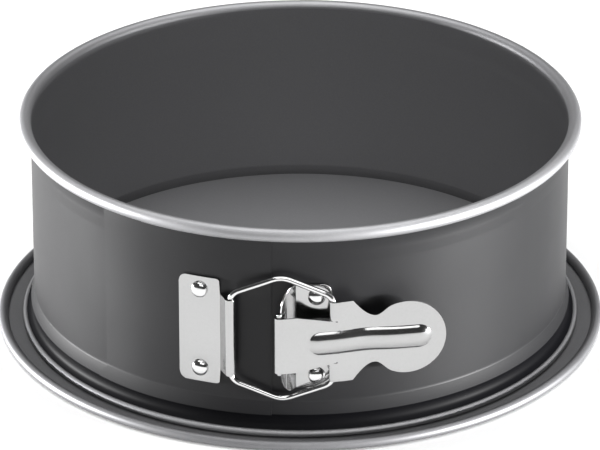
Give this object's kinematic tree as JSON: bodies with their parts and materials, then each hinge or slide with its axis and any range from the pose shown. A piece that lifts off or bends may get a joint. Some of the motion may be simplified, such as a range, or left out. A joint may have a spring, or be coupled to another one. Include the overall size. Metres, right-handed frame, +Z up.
{
  "type": "springform pan",
  "caption": "Round springform cake pan: split hoop with a lever and bail latch over a flat base with a drip rim.",
  "frame": {"origin": "on the pan's axis, in the plane of the base's underside", "axes": "+Z up the pan's axis, -Y toward the latch, +X to the right seen from the latch side"},
  "size_m": [0.2272, 0.2272, 0.0832],
  "materials": {
    "base_coating": "grey non-stick coating",
    "hoop_coating": "dark grey non-stick coating",
    "latch_steel": "bright nickel-plated sheet",
    "wire_steel": "bright plated wire",
    "rivet_steel": "bright plated rivet"
  },
  "bodies": {
    "base": {"base": "base_coating"},
    "ring_right": {"hoop_right": "hoop_coating", "catch_bracket": "latch_steel", "bracket_rivet_upper": "rivet_steel", "bracket_rivet_lower": "rivet_steel"},
    "ring_left": {"hoop_left": "hoop_coating", "anchor_plate": "latch_steel", "anchor_rivet_upper": "rivet_steel", "anchor_rivet_lower": "rivet_steel"},
    "lever": {"lever": "latch_steel"},
    "bail": {"bail": "wire_steel"}
  },
  "joints": [
    {"name": "ring_lift", "type": "slide", "parent": "base", "child": "ring_right", "axis": [0, 0, 1], "range_m": [0, 0.1]},
    {"name": "lever_swing", "type": "hinge", "parent": "ring_right", "child": "lever", "pos_m": [-0.00731, -0.10728, 0.0402], "axis": [0, 0, -1], "range_deg": [0, 110]},
    {"name": "ring_spread", "type": "hinge", "parent": "ring_right", "child": "ring_left", "pos_m": [0, 0.1053, 0.0402], "axis": [0, 0, -1], "range_deg": [0, 2.75]},
    {"name": "bail_swing", "type": "hinge", "parent": "ring_left", "child": "bail", "pos_m": [-0.02492, -0.10097, 0.0402], "axis": [0, 0, -1], "range_deg": [0, 27.5]}
  ],
  "couplings": [
    {"joint": "ring_spread", "follows": "lever_swing", "ratio": 0.025},
    {"joint": "bail_swing", "follows": "lever_swing", "ratio": 0.25}
  ]
}
